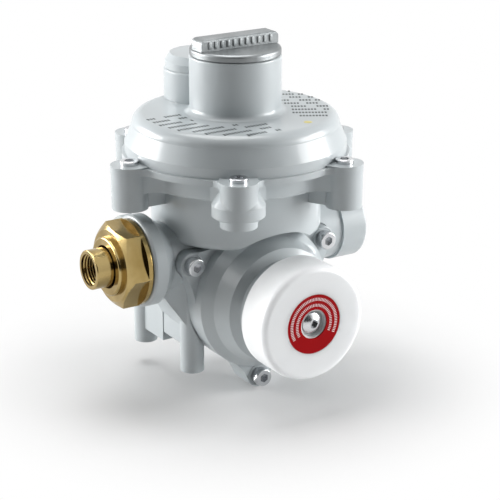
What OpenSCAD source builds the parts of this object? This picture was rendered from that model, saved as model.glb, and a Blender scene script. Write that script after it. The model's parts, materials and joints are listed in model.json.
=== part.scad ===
// Two-stage low-pressure gas regulator with a safety shut-off reset knob.
// Origin: centre of the round pad under the body, on the axis of the main
// diaphragm, with the four mounting feet standing on the same plane.
// -X is the inlet, +X the outlet, -Y the reset knob, +Z the adjuster cap.

/* [Lower body] */
// Height of the safety drum's axis above the feet
drum_z = 36.1; // [35:0.1:38]
// Height of the ports' axis above the feet
port_z = 56.5; // [55:0.1:58]
// Height of the diaphragm face above the feet
joint_z = 101.3; // [100:0.1:105]
// How far the diaphragm flange stands out past the dome
flange_lip = 1.3; // [0.8:0.1:2.5]
// Thickness of the body's flange
flange_t = 1.4; // [1:0.1:3]
// Radius of the rim band under the flange
rim_r = 47; // [46:0.1:49]
// Height of the rim band
rim_h = 9.2; // [8:0.1:11]
// Outer radius of the bowl
bowl_r = 40.6; // [39.5:0.1:42]
// Wall of the bowl
bowl_wall = 4; // [3:0.1:5]
// Depth of the bowl inside
bowl_depth = 27.3; // [26:0.1:28]
// Thickness of the bowl's floor
floor_t = 9; // [7:0.1:9.5]

/* [Ears and columns] */
// Number of ears round the diaphragm
ear_n = 6; // [6]
// Gap between the dome and the heads of its screws
head_gap = 0.25; // [0.2:0.05:2]
// Radius of an ear
ear_r = 8.8; // [8:0.1:9.5]
// Fillet between an ear and the flange
ear_fillet = 5; // [3:0.5:7]
// Height of a column under its ear
column_h = 18.4; // [16:0.1:20]
// Radius of a column, a little less than its ear
column_r = 8.5; // [7.5:0.1:8.7]
// Fillet between a column and the rim band
column_fillet = 9; // [7:0.5:11]
// Thickness of the web from a column in to the bowl
column_web = 7; // [5:0.1:9]
// Radius of the front column's foot
foot_r = 12.2; // [10:0.1:13]
// Height of the front column's foot
foot_h = 17.5; // [16:0.1:18]

/* [Ports] */
// Radius of the port tube
port_r = 16.7; // [16:0.1:17.5]
// Reach of the outlet from the main axis
outlet_x = 65; // [63:0.1:68]
// Reach of the inlet boss from the main axis
inlet_x = 55.8; // [55:0.1:59]
// Radius of the inlet boss
inlet_r = 21.8; // [20.5:0.1:23]
// Length of the inlet boss
inlet_len = 6.5; // [5:0.1:8]
// Radius of the outlet's pipe thread
outlet_thread_r = 12.05; // [11.5:0.05:13]
// Depth of the outlet's pipe thread
outlet_depth = 18; // [14:0.1:20]
// Radius of the gas passages at the ports
passage_r = 8; // [6:0.1:8.5]

/* [Safety drum] */
// Outer radius of the drum
drum_r = 33; // [32.5:0.1:33.5]
// Reach of the drum's joint face in front of the main axis
drum_face_y = 14.7; // [14:0.1:16]
// Reach of the drum's back behind the main axis
drum_back_y = 20; // [18:0.1:22]
// Inner radius of the drum
drum_bore_r = 27; // [25:0.1:28]
// Radius of the joint flanges
drum_flange_r = 35; // [34.5:0.1:36]
// Thickness of the drum's joint flange
drum_flange_t = 8; // [6:0.1:10]
// Reach of the body block behind the main axis
block_back_y = 14; // [12:0.1:16]
// Height of the body block's underside above the feet
block_z = 10; // [8:0.1:12]
// Radius of the circle through the front screws
lug_pcd_r = 42.1; // [41.5:0.1:43]
// Radius of a front screw lug
lug_r = 6; // [5.4:0.1:6.6]
// Fillet between a lug and its flange
lug_fillet = 30; // [20:1:40]

/* [Mounting feet] */
// Half of the spacing of the feet across the body
foot_x = 30.8; // [30:0.1:32]
// Reach of the front feet in front of the main axis
foot_front_y = 10.2; // [9:0.1:11]
// Reach of the rear feet behind the main axis
foot_rear_y = 36; // [34:0.1:37]
// Radius of a foot
post_r = 5.7; // [5:0.1:6.5]
// Radius of the thread in a foot
post_thread_r = 2.5; // [2:0.1:3]
// Depth of the thread in a foot
post_thread_depth = 12; // [10:0.5:15]
// Radius of the round pad under the drum
pad_r = 11; // [9:0.1:13]
// Height of the side webs' lower edges above the feet
web_z = 7.5; // [6:0.1:10]
// Thickness of the side webs
web_t = 6; // [5:0.1:8]

/* [Upper cover] */
// Thickness of the cover's flange
cover_flange_t = 1.6; // [1.2:0.1:2.5]
// Height of the cover's ears
cover_ear_h = 2.4; // [2:0.1:3.5]
// Radius of the dome at its foot
dome_r = 52.5; // [51:0.1:52.6]
// Height of the dome's straight band
dome_band_h = 6.5; // [5:0.1:8]
// Draft of the dome's side above the band
dome_draft = 3.4; // [2:0.1:4]
// Height of the dome above the body
dome_h = 20.2; // [19:0.1:22]
// Radius of the dome's shoulder
shoulder_r = 5.5; // [4.6:0.1:7]
// Wall of the dome
dome_wall = 4.5; // [3.5:0.1:5]
// Outer radius of the adjuster tower
tower_r = 21.7; // [21.5:0.1:22.5]
// Height of the adjuster tower above the dome
tower_h = 27.1; // [26:0.1:30]
// Fillet round the foot of the tower
tower_fillet = 3; // [2:0.1:4]
// Radius of the tower's threaded bore
tower_bore_r = 18; // [17.5:0.1:18.2]
// Distance from the main axis to the vent tower
vent_y = 32; // [31:0.1:32.4]
// Outer radius of the vent tower
vent_r = 18; // [17:0.1:18.5]
// Height of the vent tower above the dome
vent_h = 14.8; // [12:0.1:16]
// Radius of the vent tower's bore
vent_bore_r = 6; // [5:0.1:7]
// Height of the vent cap above its tower
vent_cap_h = 7; // [5:0.1:8]
// Gap between the vent's cap and the adjuster tower
tower_gap = 0.2; // [0.1:0.05:0.5]

/* [Front cover] */
// Thickness of the front cover's flange
front_flange_t = 5; // [4:0.1:6]
// Depth of the straight wall in front of the flange
front_wall_h = 5.1; // [4:0.1:6]
// Radius of the front cover's shoulder
front_shoulder_r = 28; // [27.7:0.1:29]
// Depth of the shoulder from the flange face
front_shoulder_h = 19.1; // [18:0.1:20]
// Radius of the front cover's neck
neck_r = 24; // [23:0.1:24.5]
// Length of the neck in front of the shoulder
neck_len = 13; // [12:0.1:14]
// Wall of the front cover
front_wall = 5; // [3:0.1:5.5]

/* [Reset knob] */
// Radius of the knob
knob_r = 27.5; // [27.1:0.1:29]
// Depth of the knob along its axis
knob_len = 18.2; // [17.5:0.1:20]
// Wall of the knob's skirt
knob_wall = 2; // [1.6:0.1:2.3]
// Wall of the knob's front
knob_front_t = 5.5; // [5:0.1:7]
// Gap between the front cover's neck and the knob's front
knob_gap = 6.7; // [6.5:0.1:8]
// Rounding of the knob's front edge
knob_edge_r = 3; // [2:0.1:4]
// Radius of the red disc on the knob
label_r = 14.2; // [12:0.1:16]
// Radius of the disc's centre hole
label_hole_r = 7; // [6.5:0.1:8]
// Thickness of the disc
label_t = 0.6; // [0.4:0.1:0.7]

/* [Inlet union] */
// Radius of the union's thread
union_thread_r = 13.1; // [12.5:0.05:13.2]
// Reach of the threaded spud in front of the collar
spud_len = 4.5; // [4:0.1:7]
// Thickness of the flat gasket
gasket_t = 2; // [1.5:0.1:3]
// Width across the flats of the union nut
nut_af = 36; // [35:0.1:38]
// Thickness of the union nut's lip
nut_lip_t = 3.4; // [3:0.1:5]
// Radius of the tail's collar
tail_collar_r = 12.6; // [12:0.1:12.7]
// Thickness of the tail's collar
tail_collar_t = 2.6; // [2:0.1:3.5]
// Outer radius of the tail
tail_r = 9.35; // [9.2:0.05:10]
// Bore radius of the tail
tail_bore_r = 7.5; // [6.5:0.05:8]
// Length of the tail outside the gasket
tail_len = 17.1; // [15:0.1:25]

/* [Adjuster and plug] */
// Radius of the plug's disc
plug_r = 21.5; // [20.5:0.1:22]
// Thickness of the plug's disc
plug_t = 3.2; // [2.5:0.1:4]
// Length of the plug's grip bar
bar_len = 42; // [36:0.1:43]
// Thickness of the plug's grip bar
bar_t = 9; // [8:0.1:12]
// Height of the grip bar above the disc
bar_h = 5.7; // [5:0.1:8]
// Rounding of the grip bar's ends
bar_end_r = 3; // [1:0.5:4]
// Thickness of the plug's seal
seal_t = 1.5; // [1:0.1:1.8]
// Mean radius of the main spring
spring_r = 12; // [10:0.1:13]
// Radius of the main spring's wire
wire_r = 1.1; // [1:0.05:1.2]
// Working coils of the main spring
coils = 5; // [4:1:6]

/* [Diaphragm and lever] */
// Thickness of the main diaphragm
diaphragm_t = 1.4; // [1:0.1:2]
// Thickness of the diaphragm's plates
plate_t = 1.5; // [1.2:0.1:2]
// Radius of the upper plate
plate_r = 31; // [28:0.1:33]
// Full travel of the diaphragm
travel = 5; // [4:0.1:5]
// Distance from the lever's pin to the stem
lever_stem_arm = 16; // [15:0.1:17]
// Distance from the lever's pin to the valve pad
lever_pad_arm = 8; // [7.5:0.1:8.5]
// Height of the lever's pin above the bowl's floor
pin_h = 14; // [13.5:0.1:15]
// Radius of the lever's pin
pin_r = 1.5; // [1.2:0.05:1.6]

/* [Screws] */
// Radius of the cover screws' thread
screw_r = 2.5; // [2:0.1:3]
// Radius of the front screws' heads
head_r = 4.25; // [4:0.05:4.6]
// Height of the front screws' heads
head_h = 5; // [4:0.1:6]
// Height of the cover screws' low heads
low_head_h = 1.9; // [1.6:0.1:2.4]
// Width across the flats of the screws' sockets
socket_af = 4; // [3:0.1:4]

/* [Hidden] */
$fn = 64;

// Colours
PAINT = [0.88, 0.89, 0.90];
WHITE = [0.96, 0.96, 0.95];
RED = [0.72, 0.06, 0.08];
BRASS = [0.72, 0.52, 0.22];
CAST = [0.48, 0.49, 0.50];
STEEL = [0.66, 0.67, 0.69];
RUBBER = [0.12, 0.12, 0.13];

// Clearances
eps = 0.01;        // overlap of shapes that are joined or cut
blend_bite = 0.1;  // depth by which a blend cuts into the rounds that it joins
cover_room = 0.6;  // room left in the body round the front cover
face_step = 0.4;   // height at which a blend starts above the face below it
face_skim = 0.04;  // skim cut that trues the drum's joint face
rest_gap = 0.02;   // gap between two faces that rest on each other
screw_room = 0.25; // radial room round a screw in its hole
run_gap = 0.06;    // radial clearance of a running shaft
thread_gap = 0.08; // radial clearance of a thread, drawn plain
move_gap = 0.3;    // least gap between pieces that move past each other
stack_gap = 0.05;  // gap between pieces stacked on one spindle or stem
end_gap = 0.1;     // gap at each end of the main spring
disc_room = 0.1;   // radial room round a loose disc in its recess

// Softened edges and inside corners of the castings
edge_r = 1.5;
bowl_edge_r = 2.5;
bowl_fillet = 4;
drum_edge_r = 6;
tower_edge_r = 1;

// Rounds in plan that follow the dome
flange_r = dome_r + flange_lip;
ear_pcd_r = dome_r + head_gap + head_r;

// Heights up the main axis
floor_z = joint_z - bowl_depth;
rim_z = joint_z - flange_t - rim_h;
cover_z = joint_z + diaphragm_t; // top of the diaphragm, held in the cover's recess
recess_r = rim_r - 1;
rim_wall = 4;
ledge_h = 2; // depth of the step under the rim inside
dome_z = joint_z + dome_h;
roof_z = dome_z - dome_wall;
tower_z = dome_z + tower_h;
seal_proud = 0.4;
plug_z = tower_z + seal_proud;
skirt_len = 5;
skirt_room = 1; // space under the plug's skirt
seat_t = 2.2;
adjuster_t = 5;
seat_z = plug_z - skirt_len - skirt_room - adjuster_t - seat_t;
spring_z0 = cover_z + plate_t + end_gap;

// Places along the knob's axis, all in front of the main axis
front_diaphragm_t = 1.2;
front_y = drum_face_y + front_diaphragm_t;
front_recess_r = drum_flange_r - 2.5;
front_len = front_diaphragm_t + front_flange_t + front_shoulder_h + neck_len;
front_flange_y = front_y + front_flange_t;
shoulder_rise = 3;
front_taper = 4;
front_taper_h = 5;
neck_y = front_flange_y + front_shoulder_h + shoulder_rise;
neck_end_y = neck_y + neck_len;
knob_in_y = neck_end_y + knob_gap;
knob_face_y = knob_in_y + knob_front_t;
knob_recess = 3;
bush_r = 7;
bush_lip_r = bush_r + 2;
bush_lip_t = 1.4;
bush_in = 1.5;
spindle_r = 4;

// Slam-shut valve: its seat, and the pad that stands off it by the pull of the knob
pull_in = 6;
seat_back_y = 6;
seat_bore_r = 7;
slam_seat_t = 1.5;
slam_seat_r = seat_bore_r + 2.5;
slam_hole_r = 5;
slam_spigot = 4;
slam_pad_t = 2;
slam_pad_r = slam_hole_r + 3;
slam_disc_r = slam_pad_r + 2;
slam_disc_t = 3;
slam_hub_r = spindle_r + 2.5;
slam_hub_len = slam_disc_t + 2.5;
front_plate_r = drum_bore_r - 6;
front_hub_r = spindle_r + 3.5;
front_hub_len = 6;
front_spigot_r = spindle_r + 2.4;
front_spigot = 3;
knob_head_r = 5;
knob_dome_r = 8.6;
knob_shank_r = screw_r - 0.1;
knob_shank_len = 10;
knob_hole_r = 3.2;
knob_well_r = label_hole_r - 0.6;
skirt_fillet = 2;
spud_grip = 8.8;
slam_y = pull_in + stack_gap - seat_back_y + slam_seat_t;

// Places along the ports
spud_x = inlet_x + spud_len;
gasket_x = spud_x + gasket_t;
nut_x = gasket_x + tail_collar_t + nut_lip_t;
nut_in_x = inlet_x + move_gap;
nut_turn = 22;
nut_face_r = 17;
nut_chamfer_h = 2.4;
nut_collar_r = 20.5;
nut_collar_h = 2.6;
nut_collar_edge = 0.8;
nut_ring_r = 14;
nut_ring_h = 2.4;
nut_room = 0.9;
nut_ring_edge = 1;
nut_drop = 2.2; // how far the corners at the nut's back are turned down
tail_edge = 0.5;

// Gas passages: from the inlet into the drum, and from the bowl down into the outlet
port_root = 8;
inlet_end = 20;
boss_back = 22;
boss_half = 18.5;
boss_cut = 8;
boss_root = 5;
spud_bore_depth = 9;
outlet_rise_x = 31;
outlet_rise_r = 6;
outlet_bore_r = 10;
outlet_collar_len = 14;
outlet_collar_lip = 1.2;
riser_r = 11;
drum_boss_r = 15;
flank_out = 0.4;
flank_left = 12;
wall_bite = 1.2;
wall_low_y = 5;
wall_front_y = 13.5;

// Feet, ears for the lever's pin, and the front column's foot
rear_post_z = port_z + 4;
web_bite = 3;
foot_drop = 2.5;
pin_ear_x = 9;
pin_ear_t = 4;
pin_ear_w = 8;
pin_ear_top = 3.5;
pin_bore_len = 2 * pin_ear_x + pin_ear_t + 2;

// Screws
ear_angles = [for (i = [0:ear_n - 1]) -90 + i * 360 / ear_n];
lug_angles = [30, 150, 270];
cover_screw_len = 16;
head_edge = 0.5;
front_screw_len = 12;

// Lever and stem, with the fork at the bottom of its travel
riser_y = lever_stem_arm + lever_pad_arm;
riser_bore_r = 5;
pin_len = 21;
valve_pad_r = 4.8;
nozzle_tip_r = 3.4;
nozzle_bore_r = nozzle_tip_r - 1;
nozzle_hex_af = 13;
nozzle_hex_h = 4;
nozzle_thread_len = 6;
plate_turn = 2;
stem_nut_af = 9;
stem_nut_h = 3.5;
pin_z = floor_z + pin_h;
lever_rest = travel / lever_stem_arm * 180 / PI;
lever_t = 2.2;
lever_hub_r = pin_r + 1.7;
stem_collar_r = 4.6;
stem_foot_t = 1.6;
tip_r = 2;
tip_gap = tip_r + 0.35;
tip_z = pin_z - lever_stem_arm * sin(lever_rest);
prong_x = 3.4;
prong_w = 3;
prong_out_x = prong_x + prong_w;
pad_t = 2.4;
stem_r = 3;
stem_top_z = cover_z + plate_t + 4.5;
nozzle_thread_r = 6.5;
nozzle_h = pin_h - lever_t / 2 - pad_t - 0.05;
roll_in_r = plate_r + 1;
roll_out_r = rim_r - 6;

// ---------- Plan helpers ----------

// A quarter-round cutter: what a rounding of radius r takes off a corner at the origin
module corner_cut(r) {
    difference() {
        translate([-r, -r])
            square([r + eps, r + eps]);
        translate([-r, -r])
            circle(r);
    }
}

// A lug of radius lr centred d from the origin along -Y, blended by tangent arcs of radius f
// into a disc of radius R that the caller draws
module lug_plan(R, d, lr, f) {
    // centre of a fillet arc that touches both circles
    ra = R - blend_bite + f;
    rb = lr - blend_bite + f;
    y = (ra * ra - rb * rb + d * d) / (2 * d);
    x = sqrt(ra * ra - y * y);
    translate([0, -d])
        circle(lr);
    difference() {
        polygon([[0, 0], [x, -y], [0, -d], [-x, -y]]);
        for (side = [-1, 1])
            translate([side * x, -y])
                circle(f);
    }
}

// Places children round the main axis at the ears, from -Y toward +X
module at_ears() {
    for (a = ear_angles)
        rotate([0, 0, a])
            children();
}

// Turns children so that their +Z points out along -Y at the drum's axis
module on_drum(y = 0) {
    translate([0, -y, drum_z])
        rotate([90, 0, 0])
            children();
}

// Turns children so that their +Z points along +X or -X on the ports' axis
module on_port(side, x) {
    translate([side * x, 0, port_z])
        rotate([0, side * 90, 0])
            children();
}

// A hexagonal prism by its width across the flats, two flats level
module hex(af, h) {
    cylinder(d = af / cos(30), h = h, $fn = 6);
}

// ---------- Lower body ----------

// Outside of the bowl, its rim band and its flange
module bowl_outside() {
    bottom = floor_z - floor_t;
    rotate_extrude()
        difference() {
            union() {
                translate([0, bottom])
                    square([bowl_r, joint_z - bottom]);
                translate([0, rim_z])
                    square([rim_r, joint_z - rim_z]);
                translate([0, joint_z - flange_t])
                    square([flange_r, flange_t]);
            }
            translate([bowl_r, bottom])
                mirror([0, 1])
                    corner_cut(bowl_edge_r);
            translate([rim_r, rim_z])
                mirror([0, 1])
                    corner_cut(edge_r);
        }
}

// One ear and its column, filleted into the rim band and webbed to the bowl, along -Y
module body_ear() {
    translate([0, 0, joint_z - flange_t])
        linear_extrude(flange_t)
            lug_plan(flange_r, ear_pcd_r, ear_r, ear_fillet);
    translate([0, 0, rim_z + face_step])
        linear_extrude(rim_h - face_step + flange_t / 2)
            lug_plan(rim_r - 0.1, ear_pcd_r, column_r + 0.1, column_fillet);
    translate([0, -ear_pcd_r, joint_z - column_h]) {
        cylinder(r = column_r, h = column_h - eps);
        translate([-column_web / 2, 0, 0])
            cube([column_web, ear_pcd_r - bowl_r + web_bite, column_h - flange_t]);
    }
}

// The wider foot of the front column, which tapers away below it
module front_foot() {
    shoulder_h = foot_h * 0.32;
    straight_h = foot_h * 0.3;
    taper_h = foot_h - shoulder_h - straight_h;
    rotate([0, 0, ear_angles[1]])
        translate([0, -ear_pcd_r + foot_r - column_r, joint_z - column_h - foot_drop])
            rotate_extrude()
                polygon([
                    [0, 0], [foot_r * 0.3, 0], [foot_r, taper_h], [foot_r, taper_h + straight_h],
                    [column_r, taper_h + straight_h + shoulder_h], [0, taper_h + straight_h + shoulder_h]
                ]);
}

// Tube from the stout inlet boss to the outlet
module port_outside() {
    on_port(-1, port_root)
        cylinder(r = port_r, h = inlet_x - port_root - 1);
    on_port(-1, inlet_x - inlet_len)
        rotate_extrude()
            difference() {
                polygon([
                    [0, port_r - inlet_r - 1], [port_r, port_r - inlet_r - 1], [inlet_r, 0],
                    [inlet_r, inlet_len], [0, inlet_len]
                ]);
                translate([inlet_r, inlet_len])
                    corner_cut(edge_r);
            }
    // the boss is squared off towards the back
    translate([-inlet_x, 0, port_z])
        rotate([90, 0, 90])
            linear_extrude(inlet_len)
                polygon([
                    [-boss_root, boss_half], [boss_back - boss_cut, boss_half],
                    [boss_back - boss_cut * 0.3, boss_half - boss_cut * 0.4], [boss_back, boss_half - boss_cut * 0.75],
                    [boss_back, boss_cut * 0.75 - boss_half], [boss_back - boss_cut * 0.3, boss_cut * 0.4 - boss_half],
                    [boss_back - boss_cut, -boss_half], [-boss_root, -boss_half]
                ]);
    on_port(1, -port_root)
        cylinder(r = port_r, h = outlet_x + port_root - eps);
    on_port(1, outlet_x - outlet_collar_len)
        rotate_extrude()
            difference() {
                square([port_r + outlet_collar_lip, outlet_collar_len]);
                translate([port_r + outlet_collar_lip, outlet_collar_len])
                    corner_cut(edge_r);
            }
}

// Safety drum, its back boss and its joint flange with three lugs
module drum_outside() {
    on_drum(-drum_back_y)
        rotate_extrude()
            difference() {
                square([drum_r, drum_face_y + drum_back_y]);
                translate([drum_r, 0])
                    mirror([0, 1])
                        corner_cut(drum_edge_r);
            }
    on_drum(-riser_y - riser_r)
        cylinder(r = drum_boss_r, h = riser_y);
    on_drum(drum_face_y - drum_flange_t)
        drum_flange(drum_flange_t);
}

// A drum joint flange of thickness t with its three lugs, larger all round by room
module drum_flange(t, room = 0) {
    cylinder(r = drum_flange_r + room, h = t);
    for (a = lug_angles)
        rotate(a + 90)
            linear_extrude(t)
                lug_plan(drum_flange_r + room, lug_pcd_r, lug_r + room, lug_fillet);
}

// Block round the drum: upright sides, sloping up to the ports
module flank() {
    side = drum_r + flank_out;
    left = side + flank_left;
    right = side + flank_left - 1;
    left_z = port_z - port_r + 3;
    right_z = port_z - port_r + 4;
    upright = 12;
    bevel = 2;
    translate([0, block_back_y, 0])
        rotate([90, 0, 0])
            linear_extrude(block_back_y + drum_face_y - drum_flange_t)
                polygon([
                    [-left, port_z], [-left, left_z],
                    [-side, block_z + upright], [-side, block_z + bevel], [-side + bevel, block_z],
                    [side - bevel, block_z], [side, block_z + bevel], [side, block_z + upright],
                    [right, right_z], [right, port_z]
                ]);
}

// Wall that comes forward on a slant from the inlet boss to the front lug beside it
module slant_wall() {
    side = drum_r + flank_out;
    outer = side + flank_left;
    top_z = floor_z - floor_t + wall_bite;
    low_z = block_z + 11.5;
    intersection() {
        translate([0, block_back_y - 1, 0])
            rotate([90, 0, 0])
                linear_extrude(block_back_y + drum_face_y)
                    polygon([
                        [-outer - 1, top_z], [-outer - 1, port_z - port_r + 2], [-side - 0.5, low_z],
                        [-port_root, low_z], [-port_root, top_z]
                    ]);
        linear_extrude(joint_z)
            polygon([
                [-outer - 3, 5], [-outer - 3, -wall_low_y], [-side - 2, -wall_front_y],
                [-port_root, -wall_front_y], [-port_root, 5]
            ]);
    }
}

// Column that carries the gas from the drum up to the nozzle, round in plan
module riser_outside() {
    translate([0, riser_y, drum_z])
        cylinder(r = riser_r, h = floor_z - drum_z);
}

// Four feet, their webs and the round pad
module feet() {
    for (side = [-1, 1]) {
        translate([side * foot_x, -foot_front_y, 0])
            cylinder(r = post_r, h = drum_z);
        translate([side * foot_x, foot_rear_y, 0])
            cylinder(r = post_r, h = rear_post_z);
        translate([side * foot_x - web_t / 2, block_back_y - 1, web_z])
            cube([web_t, foot_rear_y - block_back_y + 1, port_z - web_z]);
    }
    cylinder(r = pad_r, h = drum_z);
}

// Ears in the bowl that hold the lever's pin
module pin_ears() {
    for (side = [-1, 1])
        translate([side * pin_ear_x - pin_ear_t / 2, lever_stem_arm - pin_ear_w / 2, floor_z - eps])
            cube([pin_ear_t, pin_ear_w, pin_h + pin_ear_top]);
}

// Bowl, drum and gas passages
module body_hollows() {
    wide_r = rim_r - rim_wall;
    cavity_r = bowl_r - bowl_wall;
    rotate_extrude()
        difference() {
            union() {
                translate([0, floor_z])
                    square([cavity_r, joint_z - floor_z + 1]);
                translate([0, rim_z + ledge_h])
                    square([wide_r, joint_z - rim_z]);
            }
            translate([cavity_r, floor_z])
                mirror([0, 1])
                    corner_cut(bowl_fillet);
        }
    // inlet passage and the spud's thread
    on_port(-1, inlet_end)
        cylinder(r = passage_r, h = inlet_x);
    on_port(-1, inlet_x - spud_bore_depth)
        cylinder(r = union_thread_r, h = spud_bore_depth + 1);
    // outlet thread, passage and rise into the bowl
    on_port(1, outlet_x - outlet_depth)
        cylinder(r = outlet_thread_r, h = outlet_depth + 1);
    on_port(1, outlet_rise_x)
        cylinder(r = outlet_bore_r, h = outlet_x - outlet_rise_x - outlet_depth + 8);
    translate([outlet_rise_x, 0, port_z])
        cylinder(r = outlet_rise_r, h = floor_z - port_z + 1);
    // drum chamber, seat bore and riser
    on_drum(-seat_back_y)
        cylinder(r = drum_bore_r, h = drum_face_y + seat_back_y + 1);
    on_drum(-riser_y - riser_bore_r + 1)
        cylinder(r = seat_bore_r, h = riser_y);
    translate([0, riser_y, drum_z])
        cylinder(r = riser_bore_r, h = floor_z - drum_z + 1);
    translate([0, riser_y, floor_z - nozzle_thread_len])
        cylinder(r = nozzle_thread_r, h = nozzle_thread_len + 1);
}

module lower_body() color(PAINT)
    difference() {
        union() {
            difference() {
                union() {
                    bowl_outside();
                    at_ears() body_ear();
                    front_foot();
                    port_outside();
                    drum_outside();
                    flank();
                    slant_wall();
                    riser_outside();
                    feet();
                }
                body_hollows();
            }
            pin_ears();
        }
        // room for the front cover, also where it stands under the bowl
        on_drum(drum_face_y - face_skim)
            drum_flange(front_len, cover_room);
        // threads for the cover screws, the front screws and the feet
        at_ears()
            translate([0, -ear_pcd_r, joint_z + cover_ear_h - cover_screw_len - 1])
                cylinder(r = screw_r, h = cover_screw_len);
        on_drum(drum_face_y - front_screw_len + front_flange_t)
            for (a = lug_angles)
                rotate(a)
                    translate([lug_pcd_r, 0, 0])
                        cylinder(r = screw_r, h = front_screw_len);
        for (side = [-1, 1], y = [-foot_front_y, foot_rear_y])
            translate([side * foot_x, y, -1])
                cylinder(r = post_thread_r, h = post_thread_depth + 1);
        translate([-pin_bore_len / 2, lever_stem_arm, pin_z])
            rotate([0, 90, 0])
                cylinder(r = pin_r, h = pin_bore_len);
    }

// ---------- Upper cover ----------

// Half section of the dome, set inward by the wall w
module dome_profile(w) {
    z_mid = dome_z - shoulder_r;
    r_top = dome_r - dome_draft - shoulder_r;
    translate([r_top, z_mid])
        circle(shoulder_r - w);
    polygon([
        [0, joint_z], [dome_r - w, joint_z], [dome_r - w, joint_z + dome_band_h],
        [dome_r - dome_draft - w, z_mid], [r_top, z_mid], [r_top, dome_z - w], [0, dome_z - w]
    ]);
}

// A tower with a softened rim
module tower(r, z, h) {
    translate([0, 0, z])
        rotate_extrude()
            difference() {
                square([r, h]);
                translate([r, h])
                    corner_cut(tower_edge_r);
            }
}

// The fillet round a tower's foot
module tower_foot(r, f) {
    translate([0, 0, dome_z])
        rotate_extrude()
            difference() {
                translate([r - 1, -1])
                    square([f + 1, f + 1]);
                translate([r + f, f])
                    circle(f);
            }
}

module cover_outside() {
    rotate_extrude() {
        dome_profile(0);
        translate([0, joint_z])
            square([flange_r, cover_flange_t]);
    }
    at_ears() {
        translate([0, 0, joint_z])
            linear_extrude(cover_flange_t)
                lug_plan(flange_r, ear_pcd_r, ear_r, ear_fillet);
        translate([0, -ear_pcd_r, joint_z])
            cylinder(r = ear_r, h = cover_ear_h);
        translate([blend_bite - ear_r, -ear_pcd_r, joint_z])
            cube([2 * (ear_r - blend_bite), ear_pcd_r - dome_r + 2, cover_ear_h]);
    }
    tower(tower_r, roof_z, dome_z + tower_h - roof_z);
    tower_foot(tower_r, tower_fillet);
    translate([0, vent_y, 0])
        tower(vent_r, joint_z + cover_flange_t, dome_z - joint_z - cover_flange_t + vent_h);
}

// Air space over the diaphragm, its recess, the spring bore and the vent
module cover_inside() {
    rotate_extrude()
        intersection() {
            dome_profile(dome_wall);
            translate([0, joint_z])
                square([rim_r - rim_wall, dome_h]);
        }
    translate([0, 0, joint_z - 1])
        cylinder(r = recess_r, h = 1 + diaphragm_t);
    translate([0, 0, joint_z])
        cylinder(r = tower_bore_r, h = tower_z - joint_z + 1);
    translate([0, vent_y, roof_z - 1])
        cylinder(r = vent_bore_r, h = dome_z - roof_z + vent_h + 2);
    at_ears()
        translate([0, -ear_pcd_r, joint_z - 1])
            cylinder(r = screw_r + screw_room, h = cover_ear_h + 2);
}

module upper_cover() color(PAINT)
    difference() {
        cover_outside();
        cover_inside();
    }

// Cap of the vent, with its breathing holes at the back
module vent_cap() color(PAINT) {
    half = vent_cap_h / 2;
    lip_r = vent_r - 0.6;
    top_r = vent_r - 3;
    spigot = 6;
    hole_r = 1;
    translate([0, vent_y, dome_z + vent_h])
        difference() {
            union() {
                translate([0, 0, rest_gap])
                    cylinder(r = lip_r, h = half);
                translate([0, 0, half])
                    cylinder(r1 = lip_r, r2 = top_r, h = half);
                translate([0, 0, -spigot])
                    cylinder(r = vent_bore_r - thread_gap, h = spigot + 1);
            }
            translate([0, 0, -spigot - 1])
                cylinder(r = vent_bore_r - 2, h = spigot + 1 + half);
            // flat of the cap that clears the adjuster tower
            translate([0, -vent_y, 0])
                cylinder(r = tower_r + tower_gap, h = vent_cap_h + 1);
            for (a = [50, 90, 130])
                rotate([0, 90, a])
                    translate([-half / 2, 0, 1])
                        cylinder(r = hole_r, h = vent_r + 1);
        }
}

module vent_screen() color(STEEL)
    translate([0, vent_y, roof_z])
        difference() {
            cylinder(r = vent_bore_r - thread_gap, h = 1);
            for (x = [-3:2:3], y = [-3:2:3])
                translate([x, y, -1])
                    cylinder(r = 0.6, h = 3, $fn = 13);
        }

// ---------- Front cover ----------

// Half section of the front cover along the drum's axis, from its flange outward
module front_profile() {
    z1 = front_flange_t + front_wall_h;
    z2 = front_flange_t + front_shoulder_h;
    z3 = z2 + shoulder_rise;
    polygon([
        [0, 0], [drum_flange_r, 0], [drum_flange_r, z1], [drum_flange_r - front_taper, z1 + front_taper_h],
        [front_shoulder_r, z2], [neck_r, z3], [neck_r, z3 + neck_len], [0, z3 + neck_len]
    ]);
}

module front_cover() color(PAINT)
    on_drum(front_y)
        difference() {
            union() {
                rotate_extrude()
                    front_profile();
                translate([0, 0, rest_gap - front_diaphragm_t])
                    drum_flange(front_diaphragm_t - rest_gap + front_flange_t);
            }
            translate([0, 0, -front_diaphragm_t - 1])
                cylinder(r = front_recess_r, h = 1 + front_diaphragm_t);
            translate([0, 0, -1])
                cylinder(r = drum_bore_r, h = 1 + front_flange_t + front_wall_h);
            translate([0, 0, front_flange_t + front_wall_h - eps])
                cylinder(r1 = drum_bore_r, r2 = neck_r - front_wall, h = front_shoulder_h - front_wall_h - shoulder_rise);
            cylinder(r = neck_r - front_wall, h = neck_end_y - front_y - front_wall);
            cylinder(r = bush_r, h = neck_end_y - front_y + 1);
            for (a = lug_angles)
                rotate(a)
                    translate([lug_pcd_r, 0, -front_diaphragm_t - 1])
                        cylinder(r = screw_r + screw_room, h = front_diaphragm_t + front_flange_t + 2);
        }

module spindle_bush() color(BRASS)
    on_drum(neck_end_y - front_wall - bush_in)
        difference() {
            union() {
                cylinder(r = bush_lip_r, h = bush_lip_t);
                cylinder(r = bush_r - thread_gap, h = front_wall + bush_in);
            }
            translate([0, 0, -1])
                cylinder(r = spindle_r + run_gap, h = front_wall + 4);
        }

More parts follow.
